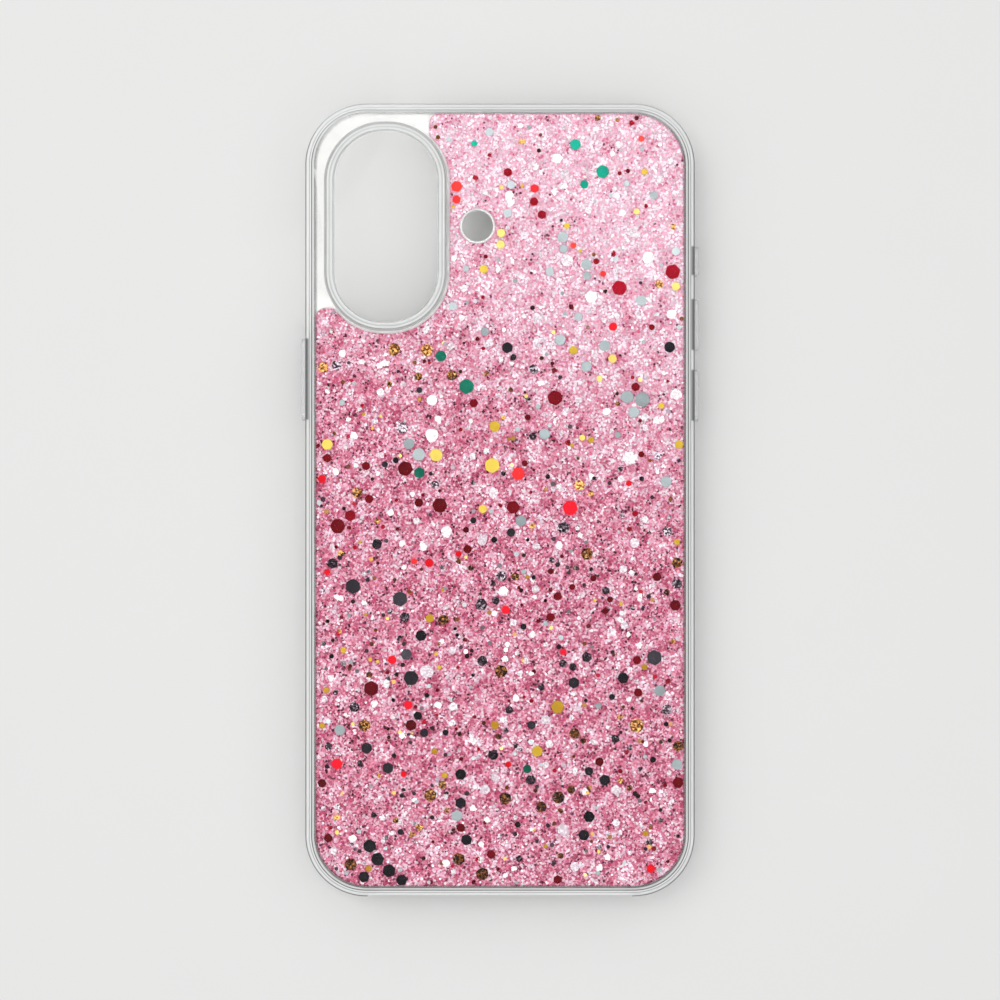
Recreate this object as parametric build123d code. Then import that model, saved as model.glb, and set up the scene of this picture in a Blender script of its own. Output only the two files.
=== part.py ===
"""Clear case for a common 6.1-inch phone, with a pink glitter sheet in its back.

The case lies flat on its front lip, back up. +Z points out of the case's back, +Y towards
the phone's top edge and +X to the right as the back is seen. The origin is the middle of
the case, on the plane of the front lip. All sizes are in millimetres.
"""

from build123d import *
import os

# ---- the phone that the case holds ----
PHONE_WIDTH = 71.6
PHONE_LENGTH = 147.6
PHONE_DEPTH = 7.8
PHONE_CORNER = 10.3
PHONE_GAP = 0.1            # clearance all round the phone

# ---- frame ----
CASE_WIDTH = 74.4
CASE_LENGTH = 151.4
CASE_CORNER = 11.7
LIP_DEPTH = 1.2            # from the lip plane to the phone's glass
LIP_REACH = 1.4            # how far the lip covers the glass's edge
LIP_ROUND = 1.2
SHOULDER_ROUND = 0.6       # rear outer edge
SHOULDER_STEP = 0.65       # outer wall to the foot of the rear bead
BEAD_RISE = 0.45
BEAD_ROUND = 0.25
BEAD_WIDTH = 0.6

# ---- layers of the back, one on the other ----
LINER_DEPTH = 0.5
FILM_DEPTH = 0.1
SHEET_DEPTH = 0.6
SEQUIN_DEPTH = 0.12
POCKET_HEADROOM = 0.03     # left over the sequins
BACK_SKIN = 1.05           # outer plate over the glitter pocket
PLATE_WIDTH = 71.0
PLATE_LENGTH = 148.2
PLATE_CORNER = 10.3
PLATE_BEVEL = 0.25
GLUE_GAP = 0.03            # between parts that are glued in place
SHEET_MARGIN = 0.3         # glitter sheet inside the plate's edge
POCKET_GAP = 0.05          # round the glitter sheet

# ---- camera opening and its guard ring ----
RING_X, RING_Y = -21.8, 52.2
RING_WIDTH, RING_LENGTH, RING_CORNER = 23.6, 40.0, 11.3
OPENING_WIDTH, OPENING_LENGTH, OPENING_CORNER = 19.7, 36.7, 9.5
RING_NECK = 0.6            # how much narrower the ring is inside the plate, each side
RING_RISE = 1.8            # above the outer plate
RING_SEAT = 0.4            # how deep its flange is let into the plate
RING_OUTER_ROUND = 0.95
RING_INNER_ROUND = 0.35
CLEAR_CORNER_X = -13.5     # the glitter starts right of this line
CLEAR_CORNER_Y = 36.6      # and below this one
CLEAR_GAP = 0.4            # between the ring and the glitter
NOSE_ROUND = 1.7           # rounds the glitter's points beside the ring

# ---- flash hole ----
FLASH_X, FLASH_Y = -4.3, 52.3
FLASH_HOLE = 5.9           # diameter
SLEEVE_WALL = 0.4
SLEEVE_PROUD = 0.15

# ---- wide opening at the bottom for the port and speakers ----
PORT_WIDTH = 50.0
PORT_HEIGHT = 6.2
PORT_CORNER = 2.6
PORT_BEVEL = 0.45
SCOOP_DEPTH = 0.33         # the bottom wall is thinner between the port's ends
SCOOP_ROUND = 0.3

# ---- side buttons: name, side (-1 left, +1 right), centre along Y, length of the cap ----
BUTTONS = [
    ("power_button", -1, 23.1, 15.8),
    ("action_button", 1, 45.7, 5.8),
    ("volume_up_button", 1, 33.5, 10.0),
    ("volume_down_button", 1, 20.0, 10.0),
]
CAP_HEIGHT = 3.2
CAP_CORNER = 1.3
CAP_PROUD = 0.9            # outside the wall
CAP_ROUND = 0.45
WINDOW_GAP = 0.15          # round the cap
WINDOW_BEVEL = 0.4
SKIN_AT_BUTTON = 0.6       # wall left outside the button's pocket
FLANGE_REACH = 0.6         # of the flange past the cap, each way
FLANGE_DEPTH = 0.36
FLANGE_GAP = 0.02          # between the flange and the wall it stops on
POCKET_REACH = 1.3         # of the pocket past the cap, each way
WEB_DEPTH = 0.2
WEB_INSET = 0.1            # from the flange's inner face to the web

# ---- sequins: six-sided, across corners ----
HUGE, LARGE, MEDIUM, SMALL, TINY = 3.1, 2.7, 2.3, 1.8, 1.3
SEQUINS = {
    "scarlet_sequins": {
        HUGE: [(13.4, -1.5)],
        LARGE: [(3.5, 5)],
        MEDIUM: [(-8.3, 59.9), (-31.1, -50.4)],
        SMALL: [(-8.3, 57.4), (6.6, 59.5), (1.1, -21), (-13.5, -12), (-34, 4), (-17.5, -39.2),
                (21.6, 33.1), (-20.6, -30.5), (28.8, -70.4)],
        TINY: [(19.7, 43.2), (27, 69), (-33, -13.8), (12.1, -29), (-16.4, -11.7), (1.6, -50.5),
               (-18.4, -52.4), (14, 48.6), (24.6, 3.2), (-7.9, -10.3)],
    },
    "ruby_sequins": {
        HUGE: [(22.8, 40.5), (33, 43.6), (10.5, 19.5), (-18.1, 6), (-11.5, -1), (-31, -5),
               (-24.6, -36)],
        LARGE: [(2.5, -1.4)],
        MEDIUM: [(-28.6, -3), (33.5, -20.1), (34, -54), (-17, -43)],
        SMALL: [(-5, 18.5), (25.9, 21.6), (-33, 8), (-25.6, 6.5), (-15.5, -0.5), (-25, 0.2),
                (11, -18.4), (9.7, -22.4), (30, -14.7), (19, -50), (-34, -54.1), (-7.5, -62.6),
                (-32.8, -64.6), (11, -72.5), (1.5, 62.6), (6.5, 57), (8, 54.5), (26.2, -30.6),
                (26.4, -36.8), (-1.7, -67.7), (-6.2, -9.4)],
        TINY: [(5.3, 15.8), (4.7, 7), (25.8, -2.6), (27, 8.7), (-6.5, -5.7), (9.7, -13.6),
               (17.8, -15), (20.1, -21.2), (13.8, -16.6), (18.4, 45.6), (29, 33), (21, -19)],
    },
    "charcoal_sequins": {
        HUGE: [(-28.1, -16.5), (-19.1, -18.9), (-17, -34), (29.5, -30.1)],
        LARGE: [(-24.9, -66.1), (-23.4, -68.6), (-21.2, -70.8)],
        MEDIUM: [(-15.1, -25.9), (23.5, -34), (-7.5, -52.4), (-7.5, -57.9), (20, -53.5),
                 (17, -60.5), (16, -64), (-26, -72), (-18.8, -72.6), (-17.9, -29.5), (-25.5, -47.4),
                 (-21.4, -51.2), (1.4, 29.1), (32.4, 29.2), (14.1, -34.9), (-6.4, -64.9)],
        SMALL: [(6, -43), (-14.5, -44.5), (17, -51.8), (2.1, -6.2), (-15.7, -41.2)],
        TINY: [(-5.1, -3.9), (-1.1, -7.6), (-22, 6.8), (-19.9, 7.6), (-15.4, 21), (4.5, -24.2),
               (-10.4, -44.4), (21.4, -37.6), (29.2, -49.6), (-19, -63.4), (3.4, -62)],
    },
    "silver_sequins": {
        HUGE: [(27.2, 19.2)],
        LARGE: [(-15.5, 8.7), (24.3, 19.7)],
        MEDIUM: [(12, 50.2), (16.5, 45), (27, 38.1), (11.5, 30.6), (20, 29.5), (16.5, 25.5),
                 (8.5, 12.6), (4, -4), (30.5, -36.4), (-8.2, -60.3), (-30.6, -43.9),
                 (33.8, -50.5), (31.7, 3.5), (25.6, 16.8), (-17.4, 10.7)],
        SMALL: [(12.1, 48), (9.5, 43.6), (15, 35), (29.4, 58.2), (33.6, 47.5), (2.1, 60.2),
                (16.6, 42.8), (1.5, 54.8), (-2, 70.3), (-9, 37), (-2.9, 32.2)],
        TINY: [(-6.5, 44.2), (18.8, -39.3), (24.2, 60.5), (22.5, 12.4), (-30.2, 18.6)],
    },
    "gold_sequins": {
        HUGE: [(-1.5, 6.6)],
        LARGE: [(-12.2, 8.6), (11, -39.5)],
        MEDIUM: [(-1, 14.1), (7.1, -48), (-33, 10.6)],
        SMALL: [(34.2, 10.6), (21.5, 27), (14, 28.6), (0.2, 51), (0.1, 48.8), (-3.1, 44.1),
                (-1, -43), (-13.4, -22.6), (33.6, 40.8), (-3.3, -1.7)],
        TINY: [(30.8, 18), (19, 23.2), (15.7, 11.9), (17.4, 11.5), (33.8, -8), (-12.5, -48),
               (-29.9, -28.7), (-33.2, -36.3), (-34, -43.1), (27.6, -31.9), (-25.1, -70.4),
               (27.6, 62.7), (26.1, 55.1), (12.8, 52.4), (27.8, -63.7), (-10.6, -52.6)],
    },
    "bronze_sequins": {
        HUGE: [(26.1, -43.1)],
        LARGE: [(-20.2, 28.7), (-14, 28.6), (0.2, -32.7), (-25.9, -43.1), (-28.5, -69.6),
                (-13.3, -56.4), (11.2, -56.8), (1, -57), (16.6, -10.3), (-3.4, -71.4),
                (-7.9, -68.6)],
        MEDIUM: [(-27.3, 1.4), (15.2, 2.8), (33.8, -12), (14.2, -44.6), (-9.2, 23.8),
                 (-10.8, -22.9), (-33.8, 25.3), (7.9, -58.6), (34, -47)],
        SMALL: [(13.6, -55.3), (2.9, -14.6), (-15.6, 23.6), (-11, -54.4), (30.4, 41.2)],
        TINY: [(-0.3, -45.2), (15.9, -46), (-5.6, -13), (18.7, 73), (33.1, 52.2), (-19.9, -61.2),
               (11.6, -68), (24.8, -55), (-25, -33.4)],
    },
    "smoke_sequins": {
        LARGE: [(12.1, -5.3), (-18.7, 13.8), (-3.6, -20)],
        MEDIUM: [(6.4, 25), (-31.2, 25.7), (-23.5, -8.4), (-32, -12.1), (32, -6), (0.3, -14.6),
                 (33.8, -16), (-27.8, -39.6), (-3.4, -30.7), (-1.3, -48.7), (16.6, -30),
                 (31.9, -40), (5.9, -53.5), (-18.2, -22.4)],
        SMALL: [(-0.8, -19.2), (20.2, -17.3), (1.8, -40.1), (12, -31.2), (13.9, -31.9),
                (-32.8, -47), (6.3, 12.2), (30.2, 8.4), (22, -45.6), (-12.4, 2.9)],
    },
    "green_sequins": {
        HUGE: [(-6.4, 21.7)],
        LARGE: [(19.6, 62.7)],
        MEDIUM: [(14.4, 67.9), (-15.4, 5.2), (-11.3, 27.5)],
        SMALL: [(16.1, 60.3), (5.2, -51.4)],
        TINY: [(-4.9, 68.1)],
    },
    "pearl_sequins": {
        HUGE: [(24.7, 8), (-14, -32.7), (-13, 12.4)],
        LARGE: [(28.3, 46.3), (17.4, 38.8), (12.8, 45.8), (33.6, 20.2), (-10.2, -6.1), (12, -63)],
        MEDIUM: [(10.9, 65.3), (-13, 19.1), (-2.9, -55.3), (22.2, -55.4), (8.7, -42),
                 (-3.4, -7.7), (25.7, -8.2), (-1.3, 1.4), (0.6, -17.5), (7.1, 34.8),
                 (32.8, 35.5), (14.3, -70)],
        SMALL: [(-1, -53), (9.4, -46.6), (-9.1, -28.7), (20.4, 16.9), (23.5, -13.2), (6.8, -17),
                (-31.8, -67), (22.2, -61.6), (-22.8, 20.6), (-2, 30)],
    },
}

# ---- heights above the lip plane ----
PHONE_TOP = LIP_DEPTH + PHONE_DEPTH
LINER_TOP = PHONE_TOP + LINER_DEPTH
FILM_TOP = LINER_TOP + FILM_DEPTH
SHEET_TOP = FILM_TOP + SHEET_DEPTH
POCKET_TOP = SHEET_TOP + SEQUIN_DEPTH + POCKET_HEADROOM
PLATE_TOP = POCKET_TOP + BACK_SKIN
SHOULDER_Z = PLATE_TOP - 0.1
BEAD_TOP = SHOULDER_Z + BEAD_RISE
BUTTON_Z = LIP_DEPTH + PHONE_DEPTH / 2

# ---- widths and distances from the middle ----
SLEEVE_OUTER = FLASH_HOLE + 2 * SLEEVE_WALL
CAVITY_HALF = PHONE_WIDTH / 2 + PHONE_GAP
WALL_HALF = CASE_WIDTH / 2
POCKET_WALL = WALL_HALF - SKIN_AT_BUTTON
FLANGE_OUT = POCKET_WALL - FLANGE_GAP
FLANGE_IN = FLANGE_OUT - FLANGE_DEPTH
TOOL_MARGIN = 2.0          # how far a cutting block runs past what it cuts


def rounded_block(width, length, corner, low, high):
    """Upright block with a rounded rectangle as its footprint."""
    return Pos(0, 0, low) * extrude(RectangleRounded(width, length, corner), high - low)


def at_camera(shape):
    """Moves a shape from the origin to the middle of the camera opening."""
    return Pos(RING_X, RING_Y, 0) * shape


def at_flash(shape):
    """Moves a shape from the origin to the middle of the flash hole."""
    return Pos(FLASH_X, FLASH_Y, 0) * shape


def upright_tube(outer, inner, low, high):
    """Round tube between two heights."""
    return Pos(0, 0, low) * extrude(Circle(outer / 2) - Circle(inner / 2), high - low)


def ring_block(inset, low, high):
    """Block in the guard ring's outer shape, smaller by an inset all round."""
    return rounded_block(
        RING_WIDTH - 2 * inset, RING_LENGTH - 2 * inset, RING_CORNER - inset, low, high
    )


def camera_opening(low, high):
    """Block in the shape of the opening inside the guard ring, centred on the origin."""
    return rounded_block(OPENING_WIDTH, OPENING_LENGTH, OPENING_CORNER, low, high)


def flash_hole(diameter, low, high):
    """Round block for cutting the layers at the flash."""
    return at_flash(Pos(0, 0, low) * extrude(Circle(diameter / 2), high - low))


def side_pill(side, length, height, corner, inner, outer):
    """Rounded block that lies along Y on one side wall, between two distances from the middle."""
    outline = Plane.YZ * RectangleRounded(length, height, corner)
    block = Pos(inner, 0, BUTTON_Z) * extrude(outline, outer - inner)
    return block if side > 0 else mirror(block, about=Plane.YZ)


def glitter_outline(grow=0.0):
    """Outline of the glitter: the back's rounded rectangle less the clear camera corner."""
    half_width = PLATE_WIDTH / 2 - SHEET_MARGIN
    half_length = PLATE_LENGTH / 2 - SHEET_MARGIN
    corner_width = half_width + CLEAR_CORNER_X
    corner_length = half_length - CLEAR_CORNER_Y
    sheet = RectangleRounded(2 * half_width, 2 * half_length, PLATE_CORNER - SHEET_MARGIN)
    corner = Pos(CLEAR_CORNER_X - corner_width, CLEAR_CORNER_Y + corner_length) * Rectangle(
        2 * corner_width, 2 * corner_length
    )
    around_ring = at_camera(RectangleRounded(
        RING_WIDTH + 2 * CLEAR_GAP, RING_LENGTH + 2 * CLEAR_GAP, RING_CORNER + CLEAR_GAP
    ))
    outline = sheet - corner - around_ring
    for point in ((CLEAR_CORNER_X, half_length), (-half_width, CLEAR_CORNER_Y)):
        nose = outline.vertices().sort_by_distance((point[0], point[1], 0))[0]
        outline = fillet(nose, NOSE_ROUND)
    return offset(outline, grow, kind=Kind.ARC) if grow else outline


def make_frame():
    """Side walls, front lip and rear rim, with the phone's cavity, the port and the windows."""
    wall = rounded_block(CASE_WIDTH, CASE_LENGTH, CASE_CORNER, 0, SHOULDER_Z)
    wall = fillet(wall.edges().group_by(Axis.Z)[-1], SHOULDER_ROUND)
    wall = fillet(wall.edges().group_by(Axis.Z)[0], LIP_ROUND)
    bead = rounded_block(
        CASE_WIDTH - 2 * SHOULDER_STEP,
        CASE_LENGTH - 2 * SHOULDER_STEP,
        CASE_CORNER - SHOULDER_STEP,
        SHOULDER_Z - SHOULDER_ROUND,
        BEAD_TOP,
    )
    bead = fillet(bead.edges().group_by(Axis.Z)[-1], BEAD_ROUND)
    frame = wall + bead

    # rear seat for the outer plate, flared above it so that the rim slopes down to the plate
    inset = SHOULDER_STEP + BEAD_WIDTH
    flare = Pos(0, 0, PLATE_TOP) * loft([
        RectangleRounded(
            PLATE_WIDTH + 2 * GLUE_GAP, PLATE_LENGTH + 2 * GLUE_GAP, PLATE_CORNER + GLUE_GAP
        ),
        Pos(0, 0, BEAD_TOP - PLATE_TOP)
        * RectangleRounded(CASE_WIDTH - 2 * inset, CASE_LENGTH - 2 * inset, CASE_CORNER - inset),
    ])
    frame -= flare
    frame -= rounded_block(
        PLATE_WIDTH + 2 * GLUE_GAP,
        PLATE_LENGTH + 2 * GLUE_GAP,
        PLATE_CORNER + GLUE_GAP,
        LINER_TOP,
        PLATE_TOP,
    )

    # phone cavity with the liner's space over it, and the screen's opening under it
    frame -= rounded_block(
        2 * CAVITY_HALF,
        PHONE_LENGTH + 2 * PHONE_GAP,
        PHONE_CORNER + PHONE_GAP,
        LIP_DEPTH,
        LINER_TOP + GLUE_GAP,
    )
    mouth = rounded_block(
        PHONE_WIDTH - 2 * LIP_REACH,
        PHONE_LENGTH - 2 * LIP_REACH,
        PHONE_CORNER - LIP_REACH,
        -TOOL_MARGIN,
        LIP_DEPTH,
    )
    frame -= mouth
    inner_edge = [
        e for e in frame.edges().filter_by_position(Axis.Z, -0.01, 0.01)
        if e.bounding_box().max.X < CAVITY_HALF - LIP_REACH / 2
    ]
    frame = chamfer(inner_edge, LIP_REACH / 4)

    # bottom: a thinner stretch of wall, then the wide opening through it
    scoop_y = -CASE_LENGTH / 2 + SCOOP_DEPTH / 2
    scoop = Pos(0, scoop_y - TOOL_MARGIN / 2, BEAD_TOP / 2) * Box(
        PORT_WIDTH + 2 * SCOOP_ROUND, SCOOP_DEPTH + TOOL_MARGIN, BEAD_TOP + TOOL_MARGIN
    )
    scoop = fillet(
        scoop.edges().filter_by(Axis.Z).group_by(Axis.Y)[-1], SCOOP_ROUND
    )
    frame -= scoop
    outer_y = -CASE_LENGTH / 2 + SCOOP_DEPTH
    port = Plane.XZ * RectangleRounded(PORT_WIDTH, PORT_HEIGHT, PORT_CORNER)
    inner_y = -PHONE_LENGTH / 2 + TOOL_MARGIN
    frame -= Pos(0, inner_y, BUTTON_Z) * extrude(port, inner_y - outer_y + TOOL_MARGIN)
    bevel = Plane.XZ * RectangleRounded(
        PORT_WIDTH + 2 * PORT_BEVEL, PORT_HEIGHT + 2 * PORT_BEVEL, PORT_CORNER + PORT_BEVEL
    )
    frame -= Pos(0, 0, BUTTON_Z) * loft([
        Pos(0, outer_y, 0) * bevel,
        Pos(0, outer_y + PORT_BEVEL, 0) * port,
    ])

    # button windows: a bevelled hole through the skin, over a wider pocket inside
    for _, side, centre, length in BUTTONS:
        window = side_pill(
            side,
            length + 2 * WINDOW_GAP,
            CAP_HEIGHT + 2 * WINDOW_GAP,
            CAP_CORNER + WINDOW_GAP,
            CAVITY_HALF - TOOL_MARGIN,
            WALL_HALF + TOOL_MARGIN,
        )
        pocket = side_pill(
            side,
            length + 2 * POCKET_REACH,
            CAP_HEIGHT + 2 * POCKET_REACH,
            CAP_CORNER + POCKET_REACH / 2,
            CAVITY_HALF - TOOL_MARGIN,
            POCKET_WALL,
        )
        frame -= Pos(0, centre, 0) * (window + pocket)
        mouth_edges = [
            e for e in frame.edges()
            if abs(e.center().Y - centre) <= length / 2 + 2 * WINDOW_GAP
            and abs(e.center().X - side * WALL_HALF) < 0.01
            and abs(e.center().Z - BUTTON_Z) <= CAP_HEIGHT / 2 + 2 * WINDOW_GAP
            and e.bounding_box().size.Y < length + 2 * WINDOW_GAP
        ]
        frame = chamfer(mouth_edges, WINDOW_BEVEL)
    return frame


def make_outer_plate():
    """Hard clear back with the glitter's pocket in its inner face."""
    plate = rounded_block(PLATE_WIDTH, PLATE_LENGTH, PLATE_CORNER, FILM_TOP, PLATE_TOP)
    plate = chamfer(plate.edges().group_by(Axis.Z)[-1], PLATE_BEVEL)
    pocket = extrude(glitter_outline(POCKET_GAP), POCKET_TOP - FILM_TOP)
    plate -= Pos(0, 0, FILM_TOP) * pocket
    plate -= at_camera(ring_block(RING_NECK - GLUE_GAP, FILM_TOP, PLATE_TOP))
    plate -= at_camera(ring_block(-GLUE_GAP, PLATE_TOP - RING_SEAT - GLUE_GAP, PLATE_TOP))
    return plate - flash_hole(SLEEVE_OUTER + 2 * GLUE_GAP, FILM_TOP, PLATE_TOP)


def make_glitter_sheet():
    """Resin sheet filled with glitter."""
    sheet = Pos(0, 0, FILM_TOP) * extrude(glitter_outline(), SHEET_DEPTH)
    return sheet - flash_hole(SLEEVE_OUTER + 2 * GLUE_GAP, FILM_TOP, SHEET_TOP)


def make_bond_film():
    """Adhesive film between the liner and everything over it."""
    film = rounded_block(PLATE_WIDTH, PHONE_LENGTH, PLATE_CORNER, LINER_TOP, FILM_TOP)
    film -= at_camera(ring_block(RING_NECK - GLUE_GAP, LINER_TOP, FILM_TOP))
    return film - flash_hole(SLEEVE_OUTER + 2 * GLUE_GAP, LINER_TOP, FILM_TOP)


def make_liner():
    """Thin liner that the phone's back touches."""
    liner = rounded_block(PHONE_WIDTH, PHONE_LENGTH, PHONE_CORNER, PHONE_TOP, LINER_TOP)
    liner -= at_camera(camera_opening(PHONE_TOP, LINER_TOP))
    return liner - flash_hole(FLASH_HOLE, PHONE_TOP, LINER_TOP)


def make_guard_ring():
    """Raised ring round the cameras, let into the plate, with a neck down to the liner."""
    crest_z = PLATE_TOP + RING_RISE
    ring = ring_block(0, PLATE_TOP - RING_SEAT, crest_z)
    ring = fillet(ring.edges().group_by(Axis.Z)[-1], RING_OUTER_ROUND)
    ring += ring_block(RING_NECK, LINER_TOP + GLUE_GAP, PLATE_TOP)
    ring -= camera_opening(LINER_TOP, crest_z)
    crest = ring.edges().group_by(Axis.Z)[-1]
    inner_crest = [
        e for e in crest
        if abs(e.center().X) <= OPENING_WIDTH / 2 + 0.01
        and abs(e.center().Y) <= OPENING_LENGTH / 2 + 0.01
    ]
    return at_camera(fillet(inner_crest, RING_INNER_ROUND))


def make_flash_sleeve():
    """Collar that lines the flash hole."""
    sleeve = upright_tube(
        SLEEVE_OUTER, FLASH_HOLE, LINER_TOP + GLUE_GAP, PLATE_TOP + SLEEVE_PROUD
    )
    rim = sleeve.edges().group_by(Axis.Z)[-1]
    return at_flash(fillet(rim, SLEEVE_PROUD))


def make_button(side, centre, length):
    """Cap that stands out of its window, on a flange that stops on the wall's inner face."""
    cap = side_pill(side, length, CAP_HEIGHT, CAP_CORNER, FLANGE_IN, WALL_HALF + CAP_PROUD)
    cap = fillet(cap.faces().sort_by(Axis.X)[-1 if side > 0 else 0].edges(), CAP_ROUND)
    flange = side_pill(
        side,
        length + 2 * FLANGE_REACH,
        CAP_HEIGHT + 2 * FLANGE_REACH,
        CAP_CORNER + FLANGE_REACH / 2,
        FLANGE_IN,
        FLANGE_OUT,
    )
    return Pos(0, centre, 0) * (cap + flange)


def make_web(side, centre, length):
    """Thin flexible ring between a button's flange and the wall of its pocket."""
    inner = FLANGE_IN + WEB_INSET
    web = side_pill(
        side,
        length + 2 * POCKET_REACH,
        CAP_HEIGHT + 2 * POCKET_REACH,
        CAP_CORNER + POCKET_REACH / 2,
        inner,
        inner + WEB_DEPTH,
    )
    web -= side_pill(
        side,
        length + 2 * FLANGE_REACH,
        CAP_HEIGHT + 2 * FLANGE_REACH,
        CAP_CORNER + FLANGE_REACH / 2,
        inner - TOOL_MARGIN,
        inner + WEB_DEPTH + TOOL_MARGIN,
    )
    return Pos(0, centre, 0) * web


def make_sequins(places_by_size):
    """Six-sided discs on the glitter sheet, each turned a little differently."""
    discs = []
    for width, places in places_by_size.items():
        for x, y in places:
            disc = extrude(RegularPolygon(width / 2, 6), SEQUIN_DEPTH)
            turn = 37 * x + 59 * y
            discs.append(Pos(x, y, SHEET_TOP) * Rot(0, 0, turn) * disc)
    return Compound(discs)


def build_nodes():
    """Every node of the case, by name."""
    nodes = {
        "bumper_frame": make_frame(),
        "outer_back_plate": make_outer_plate(),
        "glitter_resin_sheet": make_glitter_sheet(),
        "bond_film": make_bond_film(),
        "inner_liner_plate": make_liner(),
        "camera_guard_ring": make_guard_ring(),
        "flash_sleeve": make_flash_sleeve(),
    }
    for name, side, centre, length in BUTTONS:
        nodes[name] = make_button(side, centre, length)
        nodes[name + "_web"] = make_web(side, centre, length)
    for name, places_by_size in SEQUINS.items():
        nodes[name] = make_sequins(places_by_size)
    return nodes


os.makedirs("parts", exist_ok=True)
for node, shape in build_nodes().items():
    export_step(shape, f"parts/{node}.step")
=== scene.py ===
"""Finished look of a clear phone case with a pink glitter back.

Every piece is made in metres, in the frame's own axes: +Z out of the case's back, +Y
towards the phone's top edge. The clear mouldings and the sequins are the frame's own
meshes with new finishes; the glitter is made here, flake by flake.
"""

import math

import bmesh
import bpy
import numpy as np
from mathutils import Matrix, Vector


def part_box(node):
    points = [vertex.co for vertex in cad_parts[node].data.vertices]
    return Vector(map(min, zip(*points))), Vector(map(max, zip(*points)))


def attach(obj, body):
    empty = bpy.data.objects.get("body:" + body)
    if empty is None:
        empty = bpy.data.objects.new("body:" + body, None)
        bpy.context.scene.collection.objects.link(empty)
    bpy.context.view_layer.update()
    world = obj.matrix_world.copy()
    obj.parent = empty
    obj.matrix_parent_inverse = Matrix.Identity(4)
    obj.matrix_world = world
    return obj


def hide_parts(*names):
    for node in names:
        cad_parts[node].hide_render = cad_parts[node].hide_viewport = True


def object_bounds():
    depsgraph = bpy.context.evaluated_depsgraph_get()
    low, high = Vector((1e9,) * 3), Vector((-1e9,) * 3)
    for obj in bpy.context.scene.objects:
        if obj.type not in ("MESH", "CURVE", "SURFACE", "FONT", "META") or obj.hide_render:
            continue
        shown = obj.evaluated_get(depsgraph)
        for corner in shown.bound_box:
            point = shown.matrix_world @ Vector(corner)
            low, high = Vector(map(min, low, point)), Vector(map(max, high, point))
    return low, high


bl_info = {
    "name": "Glitter Phone Case",
    "version": (1, 0, 0),
    "blender": (4, 5, 0),
    "location": "View3D > Sidebar > Case",
    "description": "Finishes and glitter for a clear phone case",
    "category": "Object",
}

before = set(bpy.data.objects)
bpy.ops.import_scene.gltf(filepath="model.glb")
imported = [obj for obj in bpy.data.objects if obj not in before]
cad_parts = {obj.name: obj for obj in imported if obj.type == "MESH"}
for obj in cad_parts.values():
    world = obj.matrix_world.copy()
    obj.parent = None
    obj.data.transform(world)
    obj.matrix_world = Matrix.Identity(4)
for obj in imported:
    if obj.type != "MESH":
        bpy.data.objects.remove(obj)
cad_low, cad_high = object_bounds()
sheet_low, sheet_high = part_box("glitter_resin_sheet")
_, plate_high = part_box("outer_back_plate")

MM = 0.001
BODY = "case"
SEQUIN_NODES = [name for name in sorted(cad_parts) if name.endswith("_sequins")]
BUTTON_NODES = [name for name in sorted(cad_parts) if name.endswith("_button")]
WEB_NODES = [name for name in sorted(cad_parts) if name.endswith("_web")]

# Painted shade: grey lines in the back of the clear parts, where their beads, seams and edges fall
# in shade: distance inside the outline, half width, strength.
FRAME_SHADE_LINES = [
    (0.10 * MM, 0.25 * MM, 0.94), (0.84 * MM, 0.13 * MM, 0.62), (1.26 * MM, 0.16 * MM, 1.0),
    (1.82 * MM, 0.22 * MM, 0.97),
]
PLATE_SHADE_LINES = [(0.08 * MM, 0.60 * MM, 0.66)]
RING_SHADE_LINES = [
    (0.42 * MM, 0.40 * MM, 0.62), (1.00 * MM, 0.30 * MM, 0.42), (1.72 * MM, 0.16 * MM, 0.58),
]
FRAME_CORNER = 11.7 * MM   # corner radii of the outlines that the lines follow
PLATE_CORNER = 10.3 * MM
RING_CORNER = 11.3 * MM
FRAME_LINES_Z = plate_high.z - 0.6 * MM   # the frame has its painted shade lines above this height
TOP_FADE = 0.45            # how much weaker the lines are along the top edge
FADE_FROM = 66 * MM        # they weaken between these two distances up the case
FADE_TO = 73 * MM

# Painted shade: dark strips beside the button windows, for the recess between each cap and the
# frame.
WALL_X = cad_high.x - 0.9 * MM   # outer wall, inside the buttons' caps
STRIP_BAND = 1.0 * MM      # width of the shoulder that a strip lies in
STRIP_END = 0.3 * MM       # length over which a strip fades out
STRIP_SHADE = (0.36, 0.36, 0.36, 1.0)
FLANGE_REACH = 0.6 * MM    # of a button's hidden flange past its cap

# Clear plastic: how much darker it is seen edge on, and the strength of its polish.
SOFT_EDGE = (0.62, 1.0)
HARD_EDGE = (0.06, 0.35)
# Painted shade: the webs are tinted dark grey for the shade in the button recesses.
WEB_SHADE_TINT = (0.35, 0.35, 0.35)

# Glitter and foils.
REFLECTION_SLANT = 0.5                # painted reflection of a soft lamp: the glitter pales this much towards +X for each step towards +Y
BED_CELL = 0.38 * MM       # facets of the resin bed
CREASE_CELL = 0.3 * MM     # facets of a crumpled foil
FOIL_GRAIN = 0.12 * MM     # patches of more and less gloss on a foil
FLAKE_SIDES = 6
FLAKES_PER_PIECE = 9000
STEEPEST_FLAKE = math.radians(34)
STEEPEST_CHIP = math.radians(9)
EDGE_GAP = 0.02 * MM       # between a loose flake and the sheet's edge
SEQUIN_GAP = 0.05 * MM     # between a loose foil and a sequin
LOOSE_SEED = 100           # added to the glitter's seed, for the loose foils
SEQUIN_SEED = 300          # added to the glitter's seed, for the sequins

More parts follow.
